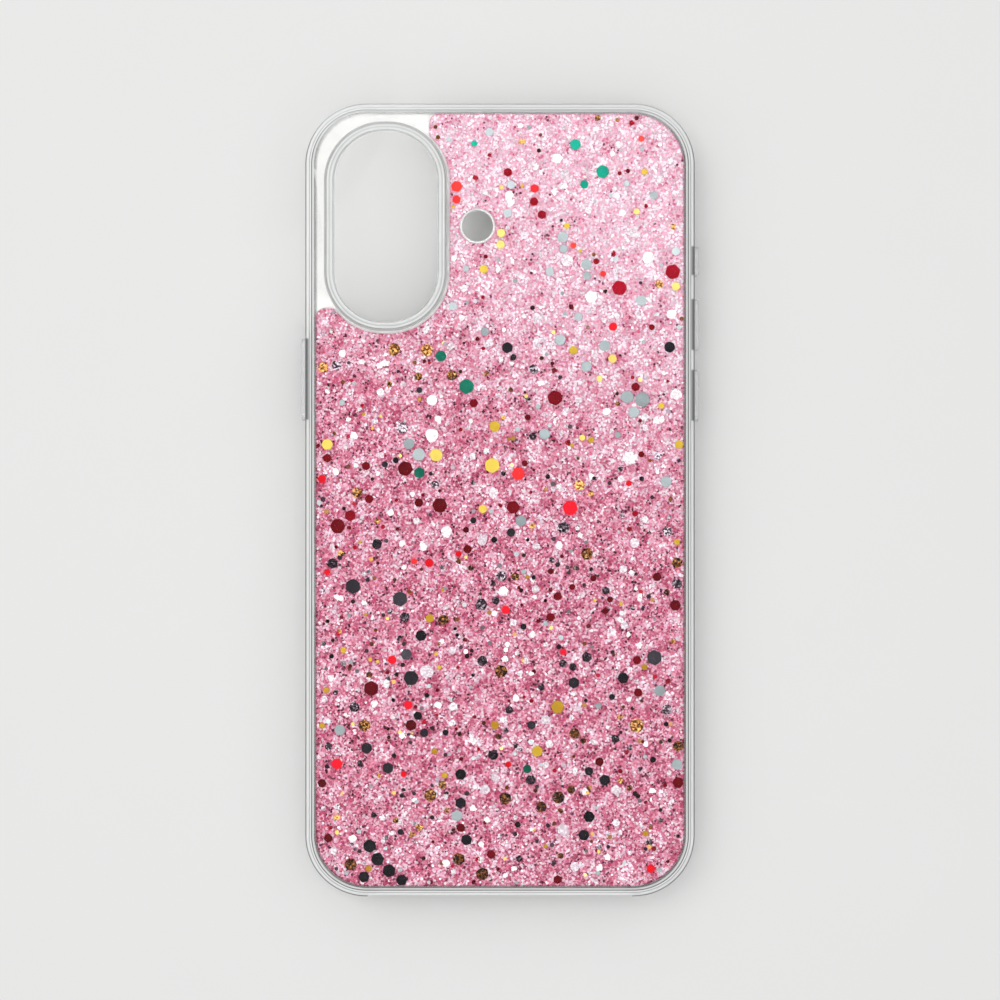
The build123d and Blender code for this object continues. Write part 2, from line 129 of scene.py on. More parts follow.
# Stage, in metres.
FLOOR_GAP = 0.02 * MM      # between the case's lip and the floor
KEY_PLACE = (-0.45, 0.35, 0.95)
KEY_SIZE = 0.45
RING_LAMPS = 8
RING_START = 20            # degrees from +X to the ring's first lamp
RING_REACHES = (0.4, 0.27)   # its lamps stand this far out, in turn
RING_HEIGHT = 1.0
RING_LAMP_SIZE = 0.09


# ---- settings ----

def length(name, description, default):
    """A size in metres."""
    return bpy.props.FloatProperty(
        name=name, description=description, default=default, unit="LENGTH", precision=5
    )


def colour(name, description, default):
    """A linear colour."""
    return bpy.props.FloatVectorProperty(
        name=name, description=description, default=default, size=3, subtype="COLOR"
    )


class ClearPlasticSettings(bpy.types.PropertyGroup):
    """Finish of the clear mouldings."""

    soft_ior: bpy.props.FloatProperty(
        name="Soft Index", description="How strongly the soft plastic bends light", default=1.12
    )
    hard_ior: bpy.props.FloatProperty(
        name="Hard Index", description="How strongly the hard plastic bends light", default=1.1
    )
    soft_tint: colour("Soft Tint", "Colour of the soft plastic", (0.965, 0.972, 0.967))
    # Painted shade: the guard ring's tint is greyed to paint in its shading.
    ring_shaded_tint: colour("Ring Tint", "Colour of the guard ring", (0.80, 0.81, 0.80))
    hard_tint: colour("Hard Tint", "Colour of the hard plastic", (0.985, 0.988, 0.99))
    soft_shade: colour("Soft Shade", "Light that one soft surface lets through", (0.97, 0.97, 0.97))
    hard_shade: colour("Hard Shade", "Light that one hard surface lets through", (0.99, 0.99, 0.99))


class GlitterSettings(bpy.types.PropertyGroup):
    """Size, number and colours of the glitter."""

    flakes: bpy.props.IntProperty(
        name="Flakes", description="Fine flakes in the whole sheet", default=46000, min=100
    )
    chips: bpy.props.FloatProperty(
        name="Chips", description="Makes the small loose foils fewer or more", default=1.0, min=0.1
    )
    smallest: length("Smallest", "Smallest flake, corner to corner", 0.00036)
    largest: length("Largest", "Largest flake, corner to corner", 0.00078)
    depth: length("Depth", "Thickness of a flake", 0.00003)
    lean: bpy.props.FloatProperty(
        name="Lean", description="Usual tilt of a flake", default=math.radians(13),
        subtype="ANGLE",
    )
    bed_drop: length("Bed Drop", "From the sheet's face down to its coloured resin", 0.00022)
    seed: bpy.props.IntProperty(name="Seed", description="Changes the scatter", default=11)
    rose: colour("Rose", "Most of the flakes", (0.55, 0.19, 0.275))
    raspberry: colour("Raspberry", "The deepest of the rose flakes", (0.36, 0.045, 0.105))
    pale: colour("Pale", "The light flakes", (0.62, 0.44, 0.52))
    mauve: colour("Mauve", "The dark flakes", (0.15, 0.035, 0.065))
    frost: colour("Frost", "The white flakes", (0.80, 0.75, 0.79))


class StageSettings(bpy.types.PropertyGroup):
    """Floor, lamps and camera."""

    floor_size: length("Floor Size", "Width of the floor", 8.0)
    floor_colour: colour("Floor", "Colour of the floor", (0.80, 0.80, 0.79))
    camera_height: length("Camera Height", "From the case's back to the camera", 1.2)
    field: length("Field", "Width of what the camera sees at the case's back", 0.19084)
    key_power: bpy.props.FloatProperty(
        name="Key Power", description="Power of the large soft lamp in watts", default=1.65
    )
    spark_power: bpy.props.FloatProperty(
        name="Spark Power", description="Power of each lamp of the ring in watts", default=0.31
    )


SETTINGS = {
    "case_plastic": ClearPlasticSettings,
    "case_glitter": GlitterSettings,
    "case_stage": StageSettings,
}


# ---- shader helpers ----

class Wiring:
    """Adds shader nodes to a tree and joins them."""

    def __init__(self, tree):
        self.tree = tree
        self.tree.nodes.clear()

    def add(self, kind, inputs=None, **settings):
        """Makes a node; an input is a value or another node's output."""
        node = self.tree.nodes.new(kind)
        for name, value in settings.items():
            setattr(node, name, value)
        for name, value in (inputs or {}).items():
            if isinstance(value, bpy.types.NodeSocket):
                self.tree.links.new(value, node.inputs[name])
            else:
                node.inputs[name].default_value = value
        return node

    def ramp(self, value, stops):
        """Colour that changes with a value, through (place, colour) stops."""
        node = self.add("ShaderNodeValToRGB", {"Fac": value})
        elements = node.color_ramp.elements
        elements[0].position, elements[-1].position = stops[0][0], stops[-1][0]
        for place, _ in stops[1:-1]:
            elements.new(place)
        for element, (_, shade) in zip(elements, stops):
            element.color = (*shade, 1.0)
        return node.outputs["Color"]

    def spread(self, value, low, high):
        """Maps 0 to 1 onto low to high."""
        node = self.add(
            "ShaderNodeMapRange", {"Value": value, "To Min": low, "To Max": high}
        )
        return node.outputs["Result"]

    def between(self, value, low, high):
        """Maps low to high onto 0 to 1."""
        node = self.add(
            "ShaderNodeMapRange", {"Value": value, "From Min": low, "From Max": high}
        )
        return node.outputs["Result"]

    def object_place(self):
        """Coordinates in the piece's own metres."""
        return self.add("ShaderNodeTexCoord").outputs["Object"]

    def noise(self, size, detail=2.0):
        """Cloudy value whose lumps are about this size, in metres."""
        node = self.add(
            "ShaderNodeTexNoise",
            {"Vector": self.object_place(), "Scale": 1.0 / size, "Detail": detail},
        )
        return node.outputs["Fac"]

    def bump(self, height, depth):
        """Normal of a surface raised by height times depth, in metres."""
        node = self.add("ShaderNodeBump", {"Height": height, "Distance": depth})
        return node.outputs["Normal"]

    def number(self, operation, *values):
        """Arithmetic on single values."""
        inputs = dict(enumerate(values))
        return self.add("ShaderNodeMath", inputs, operation=operation).outputs[0]

    def vector(self, operation, *values):
        """Vector arithmetic."""
        inputs = dict(enumerate(values))
        return self.add("ShaderNodeVectorMath", inputs, operation=operation).outputs[0]

    def multiplied(self, first, second):
        """One colour times another."""
        return self.vector("MULTIPLY", first, second)

    def blended(self, share, first, second):
        """Two colours, with this share of the second."""
        node = self.add(
            "ShaderNodeMix", {"Factor": share, "A": first, "B": second}, data_type="RGBA"
        )
        return node.outputs["Result"]

    def axis(self, name):
        """One of the object coordinates, in metres."""
        return self.add("ShaderNodeSeparateXYZ", {"Vector": self.object_place()}).outputs[name]

    def mixed(self, share, first, second):
        """Two shaders, with this share of the second."""
        node = self.add("ShaderNodeMixShader", {0: share})
        self.tree.links.new(first, node.inputs[1])
        self.tree.links.new(second, node.inputs[2])
        return node.outputs[0]

    def cells(self, size):
        """A random colour for each small cell of about this size, in metres."""
        node = self.add(
            "ShaderNodeTexVoronoi", {"Vector": self.object_place(), "Scale": 1.0 / size}
        )
        return node.outputs["Color"]

    def tilted_normal(self, cells, amount):
        """The surface's normal, tilted its own way in each cell."""
        centred = self.vector("SUBTRACT", cells, (0.5, 0.5, 0.5))
        normal = self.add("ShaderNodeNewGeometry").outputs["Normal"]
        tilted = self.vector("MULTIPLY_ADD", centred, (amount,) * 3, normal)
        return self.vector("NORMALIZE", tilted)

    def finish(self, shader):
        """Sends a shader to the surface."""
        self.add("ShaderNodeOutputMaterial", {"Surface": shader})


def new_material(name):
    """An empty node material and its wiring."""
    material = bpy.data.materials.new(name)
    material.use_nodes = True
    return material, Wiring(material.node_tree)


def dress(names, material):
    """Gives CAD nodes a material."""
    for name in names:
        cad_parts[name].material_slots[0].material = material


def clear_plastic(name, tint, shade, ior, rim, gloss, wave_size, haze, lines=None):
    """Clear moulding: polished, a little milky, and darker where it is seen edge on.

    Rim is how much darker it is there, and gloss is the strength of its polish. Haze is the
    milky share low down and at the back. Lines is a function that gives the grey of the
    painted shade lines in its back.
    """
    material, wiring = new_material(name)
    cloud = wiring.noise(wave_size)
    facing = wiring.add("ShaderNodeLayerWeight", {"Blend": 0.5}).outputs["Facing"]
    edge = wiring.ramp(facing, [
        (0.0, tint), (0.12, tint), (0.4, tuple((1 - 0.4 * rim) * c for c in tint)),
        (1.0, tuple((1 - rim) * c for c in tint)),
    ])
    milk_tint = wiring.ramp(wiring.noise(wave_size / 3), [
        (0.0, tuple(0.955 * c for c in tint)), (1.0, tuple(0.99 * c for c in tint)),
    ])
    # Painted shade: the lines' grey darkens the clear tint and the milk alike.
    if lines:
        grey = lines(wiring)
        edge = wiring.multiplied(edge, grey)
        milk_tint = wiring.multiplied(milk_tint, grey)
    plastic = wiring.add("ShaderNodeBsdfPrincipled", {
        "Base Color": edge,
        "Transmission Weight": 1.0,
        "IOR": ior,
        "Roughness": wiring.spread(wiring.noise(wave_size / 4, 4.0), 0.0, 0.03),
        "Normal": wiring.bump(cloud, 0.001 * MM),
        "Coat Weight": gloss,
        "Coat Roughness": 0.03,
        "Coat IOR": 1.45,
    })
    milk = wiring.add("ShaderNodeBsdfDiffuse", {"Color": milk_tint})
    back = wiring.between(wiring.axis("Z"), plate_high.z - 1.2 * MM, plate_high.z - 0.5 * MM)
    body = wiring.mixed(wiring.spread(back, *haze), plastic.outputs[0], milk.outputs[0])
    passing = wiring.add("ShaderNodeBsdfTransparent", {"Color": (*shade, 1.0)})
    path = wiring.add("ShaderNodeLightPath")
    wiring.finish(wiring.mixed(path.outputs["Is Shadow Ray"], body, passing.outputs[0]))
    return material


def outline_shade_lines(node, corner, lines, lowest):
    """Painted shade lines that follow a node's rounded outline, on faces above a height.

    Each line is its distance inside the outline, its half width and its strength. The
    distance is the corner's radius less how far a point is from the corners' middles.
    """
    low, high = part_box(node)
    middle, half = (low + high) / 2, (high - low) / 2
    deepest = max(inside + width for inside, width, _ in lines)

    def grey(wiring):
        place = wiring.object_place()
        centred = wiring.vector("SUBTRACT", place, (middle.x, middle.y, 0))
        past = wiring.vector(
            "SUBTRACT", wiring.vector("ABSOLUTE", centred),
            (half.x - corner, half.y - corner, 0),
        )
        flat = wiring.vector("MULTIPLY", wiring.vector("MAXIMUM", past, (0, 0, 0)), (1, 1, 0))
        reach = wiring.add("ShaderNodeVectorMath", {0: flat}, operation="LENGTH")
        inside = wiring.between(reach.outputs["Value"], corner, corner - deepest)
        stops = [(0.0, (1, 1, 1))] if lines[0][0] > lines[0][1] else []
        for offset, width, strength in lines:
            for side, level in ((-1, 1), (0, 1 - strength), (1, 1)):
                stops.append((max(0, (offset + side * width) / deepest), (level,) * 3))
        drawn = wiring.ramp(inside, stops)
        above = wiring.between(wiring.axis("Z"), lowest - 0.05 * MM, lowest)
        near_top = wiring.between(wiring.axis("Y"), FADE_FROM, FADE_TO)
        fade = wiring.spread(near_top, 1, 1 - TOP_FADE)
        return wiring.blended(wiring.number("MULTIPLY", above, fade), (1, 1, 1, 1), drawn)

    return grey


def foil(name, stops, metal, rough, tone, coat=0.0, crease=0.0):
    """Glitter foil whose colour follows a tone from 0 to 1; a crease tilts it cell by cell."""
    material, wiring = new_material(name)
    rough_low, rough_high = rough
    inputs = {
        "Base Color": wiring.ramp(tone(wiring), stops),
        "Metallic": metal,
        "Roughness": wiring.spread(wiring.noise(FOIL_GRAIN, 1.0), rough_low, rough_high),
        "Specular IOR Level": 0.12,
        "Coat Weight": coat,
        "Coat Roughness": 0.05,
    }
    if crease:
        inputs["Normal"] = wiring.tilted_normal(wiring.cells(CREASE_CELL), crease)
    shader = wiring.add("ShaderNodeBsdfPrincipled", inputs)
    wiring.finish(shader.outputs[0])
    return material


def flake_tone(wiring):
    """The tone that each flake carries."""
    return wiring.add("ShaderNodeAttribute", attribute_name="tone").outputs["Fac"]


def crease_light_tone(wiring):
    """Painted light and shade of the creases: a tone that jumps from crease to crease, round the
    one that each foil carries.
    """
    split = wiring.add("ShaderNodeSeparateColor", {"Color": wiring.cells(CREASE_CELL)})
    mixed = wiring.number("ADD", split.outputs["Red"], flake_tone(wiring))
    return wiring.between(mixed, 0.45, 1.5)


def window_shade_strips(wiring):
    """Painted shade on the frame's shoulder: a dark strip beside each button, clear elsewhere."""
    x, y = wiring.axis("X"), wiring.axis("Y")
    grey = (1, 1, 1, 1)
    for name in BUTTON_NODES:
        low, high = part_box(name)
        out = wiring.number("MULTIPLY", x, math.copysign(1, low.x))
        strip = wiring.ramp(wiring.between(out, WALL_X - STRIP_BAND, WALL_X), [
            (0.0, (0, 0, 0)), (0.25, (0, 0, 0)), (0.40, (1, 1, 1)), (0.85, (1, 1, 1)),
            (1.0, (0, 0, 0)),
        ])
        off = wiring.number("ABSOLUTE", wiring.number("SUBTRACT", y, (low.y + high.y) / 2))
        half = (high.y - low.y) / 2 - FLANGE_REACH
        near = wiring.between(off, half, half - STRIP_END)
        grey = wiring.blended(wiring.number("MULTIPLY", strip, near), grey, STRIP_SHADE)
    return grey


def recess_shade(wiring):
    """Grey of a button: dark where it stands in the frame's window, clear outside it."""
    across = wiring.vector("ABSOLUTE", wiring.object_place())
    x = wiring.add("ShaderNodeSeparateXYZ", {"Vector": across}).outputs["X"]
    outside = wiring.between(x, cad_high.x - 2.0 * MM, cad_high.x)
    return wiring.ramp(outside, [
        (0.0, (0.30,) * 3), (0.42, (0.25,) * 3), (0.56, (0.82,) * 3), (1.0, (1.0,) * 3),
    ])


# ---- mesh helpers ----

def add_object(name, data):
    """A new object in the scene."""
    thing = bpy.data.objects.new(name, data)
    bpy.context.scene.collection.objects.link(thing)
    return thing


def repeated_mesh(name, points, faces, tones):
    """Mesh of many like shapes: points is shapes x corners x 3, faces are one shape's corners."""
    shapes, corners, _ = points.shape
    one = np.concatenate([np.array(face) for face in faces])
    sizes = np.tile([len(face) for face in faces], shapes)
    loops = (one[None, :] + np.arange(shapes)[:, None] * corners).ravel()
    mesh = bpy.data.meshes.new(name)
    mesh.vertices.add(shapes * corners)
    mesh.vertices.foreach_set("co", points.astype(np.float32).ravel())
    mesh.loops.add(len(loops))
    mesh.loops.foreach_set("vertex_index", loops.astype(np.int32))
    mesh.polygons.add(len(sizes))
    starts = np.concatenate([[0], np.cumsum(sizes)[:-1]])
    mesh.polygons.foreach_set("loop_start", starts.astype(np.int32))
    attribute = mesh.attributes.new("tone", "FLOAT", "POINT")
    attribute.data.foreach_set("value", np.repeat(tones, corners).astype(np.float32))
    mesh.update(calc_edges=True)
    mesh.shade_flat()
    return add_object(name, mesh)


def prism_faces(corners):
    """Top, bottom and sides of a prism whose top corners come before its bottom ones."""
    top = list(range(corners))
    bottom = [corner + corners for corner in reversed(top)]
    sides = [
        (i, i + corners, (i + 1) % corners + corners, (i + 1) % corners) for i in top
    ]
    return [top, bottom, *sides]


def prism_points(centres, radii, lean, heading, spin, depth, ragged, corners, rng):
    """Thin prisms: a circle of corners, turned by spin, then leaned by lean towards heading.

    A corner stands at the centre plus radius times cosine along the slope and sine across
    it, and half the depth above or below along the prism's own normal.
    """
    angle = spin[:, None] + np.arange(corners) * 2 * math.pi / corners
    reach = radii[:, None] * (1 - ragged * rng.random(angle.shape))
    along = np.stack(
        [np.cos(lean) * np.cos(heading), np.cos(lean) * np.sin(heading), -np.sin(lean)], -1
    )
    across = np.stack([-np.sin(heading), np.cos(heading), np.zeros_like(heading)], -1)
    normal = np.cross(along, across)
    ring = (
        centres[:, None]
        + (reach * np.cos(angle))[..., None] * along[:, None]
        + (reach * np.sin(angle))[..., None] * across[:, None]
    )
    half = normal[:, None] * depth / 2
    return np.concatenate([ring + half, ring - half], axis=1)


def node_triangles(name):
    """Corners of every triangle of a CAD node: triangles x 3 x 3."""
    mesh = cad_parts[name].data
    mesh.calc_loop_triangles()
    corners = np.empty(len(mesh.loop_triangles) * 3, np.int32)
    mesh.loop_triangles.foreach_get("vertices", corners)
    places = np.empty(len(mesh.vertices) * 3, np.float32)
    mesh.vertices.foreach_get("co", places)
    return places.reshape(-1, 3)[corners].reshape(-1, 3, 3).astype(float)


def top_triangles(name):
    """Corners in plan of the triangles on a CAD node's highest level."""
    triangles = node_triangles(name)
    highest = triangles[..., 2].max()
    return triangles[(triangles[..., 2] > highest - 1e-6).all(axis=1)][..., :2]


def sequin_places(name):
    """Middle, corner radius and turn of every disc in a node of sequins.

    Triangles that share a corner belong to one disc: each corner takes the lowest number
    of its triangles until nothing changes.
    """
    triangles = top_triangles(name)
    corners, number = np.unique(
        np.round(triangles.reshape(-1, 2), 7), axis=0, return_inverse=True
    )
    number = number.reshape(-1, 3)
    label = np.arange(len(corners))
    while True:
        lowest = label[number].min(axis=1)
        merged = label.copy()
        np.minimum.at(merged, number.ravel(), np.repeat(lowest, 3))
        if (merged == label).all():
            break
        label = merged
    _, first, disc = np.unique(label, return_index=True, return_inverse=True)
    size = np.bincount(disc)
    middle = np.stack([np.bincount(disc, corners[:, axis]) / size for axis in (0, 1)], -1)
    radius = np.bincount(disc, np.linalg.norm(corners - middle[disc], axis=1)) / size
    towards = corners[first] - middle
    return middle, radius, np.arctan2(towards[:, 1], towards[:, 0])


def outline_of(triangles):
    """Edges that only one of the triangles has, as segments in plan."""
    edges = np.concatenate([triangles[:, [0, 1]], triangles[:, [1, 2]], triangles[:, [2, 0]]])
    keys = np.round(edges / 1e-7).astype(np.int64)
    swap = (keys[:, 0, 0] > keys[:, 1, 0]) | (
        (keys[:, 0, 0] == keys[:, 1, 0]) & (keys[:, 0, 1] > keys[:, 1, 1])
    )
    keys[swap] = keys[swap][:, ::-1]
    _, first, times = np.unique(
        keys.reshape(-1, 4), axis=0, return_index=True, return_counts=True
    )
    return edges[first[times == 1]]


def scatter(triangles, count, rng):
    """Points spread evenly over triangles, by area."""
    a, b, c = triangles[:, 0], triangles[:, 1], triangles[:, 2]
    area = abs((b - a)[:, 0] * (c - a)[:, 1] - (b - a)[:, 1] * (c - a)[:, 0])
    chosen = rng.choice(len(triangles), count, p=area / area.sum())
    u, v = rng.random((2, count, 1))
    u, v = np.where(u + v > 1, 1 - u, u), np.where(u + v > 1, 1 - v, v)
    return a[chosen] + u * (b - a)[chosen] + v * (c - a)[chosen]


def distance_to(points, segments):
    """Shortest distance in plan from each point to any segment."""
    nearest = np.full(len(points), np.inf)
    for start, end in segments:
        run = end - start
        along = np.clip((points - start) @ run / max(run @ run, 1e-18), 0, 1)
        gap = np.linalg.norm(points - start - along[:, None] * run, axis=1)
        nearest = np.minimum(nearest, gap)
    return nearest


def clear_of_sequins(points, radii):
    """Which round flakes in plan touch no sequin."""
    free = np.ones(len(points), bool)
    for name in SEQUIN_NODES:
        middle, radius, _ = sequin_places(name)
        gap = np.linalg.norm(points[:, None] - middle[None], axis=2) - radius[None]
        free &= gap.min(axis=1) > radii
    return free


# ---- glitter ----

def cloudiness(points, seed, shortest=12 * MM, longest=45 * MM):
    """Soft patches between 0 and 1: a few waves in plan, added up."""
    rng = np.random.default_rng(seed)
    total = np.zeros(len(points))
    waves = 7
    for _ in range(waves):
        turn, phase = rng.uniform(0, 2 * math.pi, 2)
        wavelength = rng.uniform(shortest, longest)
        way = np.array([math.cos(turn), math.sin(turn)])
        total += np.sin(points @ way * 2 * math.pi / wavelength + phase)
    return np.clip(0.5 + total / waves, 0, 1)


def reflection_and_patches(points, seed):
    """Painted reflection and patches: how light the glitter is, palest towards the phone's top
    where a soft lamp's reflection is painted in, with soft patches of its own.
    """
    half = (sheet_high.y - sheet_low.y) / 2
    rise = np.clip(((points[:, 1] + REFLECTION_SLANT * points[:, 0]) / half - 0.02) / 0.85, 0, 1)
    return np.clip(0.95 * rise + 0.40 * (cloudiness(points, seed) - 0.35), 0, 1)


def place_flakes(plan, radii, lean, highest, sink, depth):
    """Middles of flakes whose raised edges stay under a height, each sunk a little further."""
    rise = radii * np.sin(lean) + depth / 2
    return np.column_stack([plan, highest - rise - sink])


def make_glitter_bed(settings):
    """Coloured resin under the flakes: the sheet's own shape with its face lowered."""
    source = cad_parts["glitter_resin_sheet"].data
    bed = bmesh.new()
    bed.from_mesh(source)
    bmesh.ops.remove_doubles(bed, verts=bed.verts, dist=1e-7)
    middle = (sheet_low.z + sheet_high.z) / 2
    for vertex in bed.verts:
        if vertex.co.z > middle:
            vertex.co.z -= settings.bed_drop
    bmesh.ops.recalc_face_normals(bed, faces=bed.faces)
    mesh = bpy.data.meshes.new("glitter_bed")
    bed.to_mesh(mesh)
    bed.free()
    mesh.materials.clear()
    mesh.materials.append(bed_material(settings))
    return add_object("glitter_bed", mesh)


def bed_material(settings):
    """Resin packed with fine foil: small cells of rose and white, each tilted its own way."""
    material, wiring = new_material("rose_resin")
    cells = wiring.cells(BED_CELL)
    split = wiring.add("ShaderNodeSeparateColor", {"Color": cells})
    rose, raspberry, pale = (
        np.array(shade) for shade in (settings.rose, settings.raspberry, settings.pale)
    )
    low_tint = wiring.ramp(split.outputs["Red"], [
        (0.0, 0.6 * raspberry), (0.3, raspberry), (0.65, rose), (1.0, pale),
    ])
    reflected_tint = wiring.ramp(split.outputs["Red"], [
        (0.0, rose), (0.5, (rose + pale) / 2), (1.0, pale),
    ])
    # Painted reflection: the bed pales towards the phone's top, along the slant.
    slanted = wiring.number("MULTIPLY_ADD", wiring.axis("X"), REFLECTION_SLANT, wiring.axis("Y"))
    rise = wiring.between(slanted, 0.05 * sheet_high.y, 0.85 * sheet_high.y)
    tint = wiring.blended(rise, low_tint, reflected_tint)
    shader = wiring.add("ShaderNodeBsdfPrincipled", {
        "Base Color": tint,
        "Metallic": 0.25,
        "Roughness": wiring.spread(split.outputs["Green"], 0.2, 0.45),
        "Normal": wiring.tilted_normal(cells, 0.5),
    })
    wiring.finish(shader.outputs[0])
    return material


def make_fine_flakes(settings):
    """All the fine flakes, sorted by colour into pieces of up to nine thousand."""
    rng = np.random.default_rng(settings.seed)
    triangles = top_triangles("glitter_resin_sheet")
    border = outline_of(triangles)
    plan = scatter(triangles, settings.flakes, rng)
    width = settings.smallest + (settings.largest - settings.smallest) * rng.beta(
        1.4, 3.2, settings.flakes
    )
    radii = width / 2
    inside = distance_to(plan, border) > radii + EDGE_GAP
    plan, radii = plan[inside], radii[inside]
    count = len(plan)
    lean = abs(rng.normal(0, settings.lean, count)).clip(0, STEEPEST_FLAKE)
    heading, spin = rng.uniform(0, 2 * math.pi, (2, count))
    sink = rng.uniform(0, 0.5, count) * settings.bed_drop
    centres = place_flakes(plan, radii, lean, sheet_high.z - 0.01 * MM, sink, settings.depth)
    points = prism_points(
        centres, radii, lean, heading, spin, settings.depth,
        ragged=0.12, corners=FLAKE_SIDES, rng=rng,
    )
    # Painted reflection: the tones and the shares of frost, pale and mauve flakes follow the
    # painted pale top as well as the patches.
    pale = reflection_and_patches(plan, settings.seed + 1)
    patch = cloudiness(plan, settings.seed + 2, 2.2 * MM, 7 * MM) - 0.5
    tones = np.clip(
        rng.normal(0.42, 0.26, count) + 0.9 * patch + 0.50 * (pale - 0.2), 0, 1
    )

    chance = rng.random(count)
    frost_share = np.clip(0.07 + 0.12 * pale + 0.25 * patch, 0.03, 1)
    pale_share = np.clip(0.22 + 0.42 * pale + 0.5 * patch, 0.05, 1)
    mauve_share = np.clip(0.13 * (1 - 1.4 * pale) - 0.25 * patch, 0.004, 1)
    groups = {
        "frost": chance < frost_share,
        "pale": (chance >= frost_share) & (chance < frost_share + pale_share),
        "mauve": chance > 1 - mauve_share,
    }
    groups["rose"] = ~np.logical_or.reduce(list(groups.values()))
    rose, raspberry, light, dark, white = (
        np.array(shade) for shade in
        (settings.rose, settings.raspberry, settings.pale, settings.mauve, settings.frost)
    )
    looks = {
        "frost": foil("frost_foil", [(0, 0.75 * white), (1, white)], 0.3, (0.12, 0.3), flake_tone),
        "pale": foil("pale_foil", [(0, (light + rose) / 2), (0.6, light), (1, (light + white) / 2)],
                     0.3, (0.18, 0.4), flake_tone),
        "rose": foil("rose_foil", [(0, raspberry), (0.55, rose), (1, (rose + light) / 2)],
                     0.35, (0.2, 0.42), flake_tone),
        "mauve": foil("mauve_foil", [(0, 0.3 * dark), (0.5, dark), (1, raspberry)],
                      0.45, (0.2, 0.4), flake_tone),
    }
    pieces = []
    for name, chosen in groups.items():
        members = np.flatnonzero(chosen)
        for part, start in enumerate(range(0, len(members), FLAKES_PER_PIECE), 1):
            some = members[start:start + FLAKES_PER_PIECE]
            piece = repeated_mesh(
                f"{name}_flakes_{part}", points[some], prism_faces(FLAKE_SIDES), tones[some]
            )
            piece.data.materials.append(looks[name])
            pieces.append(piece)
    return pieces


# Loose foils: colour family, how many, narrowest and widest in mm, and how much they keep
# to the lower part.
CHIP_LOOKS = {
    "smoke_chips": ("smoke", 130, 0.75, 1.15, 0.85),
    "amber_chips": ("bronze", 75, 0.7, 1.1, 0.5),
    "lemon_chips": ("gold", 35, 0.7, 1.0, 0.4),
    "crimson_chips": ("ruby", 70, 0.7, 1.1, 0.6),
    "ash_chips": ("silver", 60, 0.75, 1.2, 0.3),
}
PATCH_LOOKS = {
    "white_patches": ("pearl", 170, 1.1, 2.3, 0.2),
    "dark_patches": ("smoke", 42, 1.2, 1.9, 0.85),
    "brown_patches": ("bronze", 24, 1.1, 1.8, 0.6),
    "red_patches": ("ruby", 22, 1.0, 1.7, 0.6),
}
CHIP_RISE = 0.12 * MM      # a chip's edge above the sheet's face, at most
PATCH_SINK = 0.02 * MM     # a patch's foot below the sheet's face
PATCH_DEPTH = 0.14 * MM    # from a patch's foot to its highest crease
PATCH_RAGGED = 0.45


def scatter_loose(settings, order, amount, small, large, low_share):
    """Places and radii of loose foils that touch neither a sequin nor the edge.

    The generator comes back too, for the draws that follow.
    """
    triangles = top_triangles("glitter_resin_sheet")
    rng = np.random.default_rng(settings.seed + LOOSE_SEED + order)
    count = int(3 * amount * settings.chips)
    plan = scatter(triangles, count, rng)
    radii = (small + (large - small) * rng.beta(1.3, 2.0, count)) / 2 * MM
    half = (sheet_high.y - sheet_low.y) / 2
    keep = rng.random(count) > low_share * np.clip(plan[:, 1] / half + 0.45, 0, 1)
    keep &= distance_to(plan, outline_of(triangles)) > radii + EDGE_GAP
    keep &= clear_of_sequins(plan, radii + SEQUIN_GAP)
    chosen = np.flatnonzero(keep)[:int(amount * settings.chips)]
    return plan[chosen], radii[chosen], rng


def make_chips(settings):
    """Small loose foils of other colours, leaning among the fine flakes."""
    pieces = []
    for order, (name, look) in enumerate(CHIP_LOOKS.items()):
        family, *rest = look
        plan, radii, rng = scatter_loose(settings, order, *rest)
        count = len(plan)
        lean = abs(rng.normal(0, 0.4 * settings.lean, count)).clip(0, STEEPEST_CHIP)
        heading, spin = rng.uniform(0, 2 * math.pi, (2, count))
        sink = rng.uniform(0, 0.25, count) * settings.bed_drop
        centres = place_flakes(plan, radii, lean, sheet_high.z + CHIP_RISE, sink, settings.depth)
        points = prism_points(
            centres, radii, lean, heading, spin, settings.depth,
            ragged=0.1, corners=FLAKE_SIDES, rng=rng,
        )
        piece = repeated_mesh(name, points, prism_faces(FLAKE_SIDES), rng.random(count))
        piece.data.materials.append(sequin_foil(family))
        pieces.append((piece, family))
    for order, (name, look) in enumerate(PATCH_LOOKS.items(), len(CHIP_LOOKS)):
        family, *rest = look
        plan, radii, rng = scatter_loose(settings, order, *rest)
        spin = rng.uniform(0, 2 * math.pi, len(plan))
        foot = sheet_high.z - PATCH_SINK
        points = crumpled_points(plan, radii, spin, foot, PATCH_DEPTH, PATCH_RAGGED, rng)
        piece = repeated_mesh(name, points, crumpled_faces(), rng.random(len(plan)))
        piece.data.materials.append(sequin_foil(family, crumpled=True))
        pieces.append((piece, family))
    return pieces


# ---- sequins ----

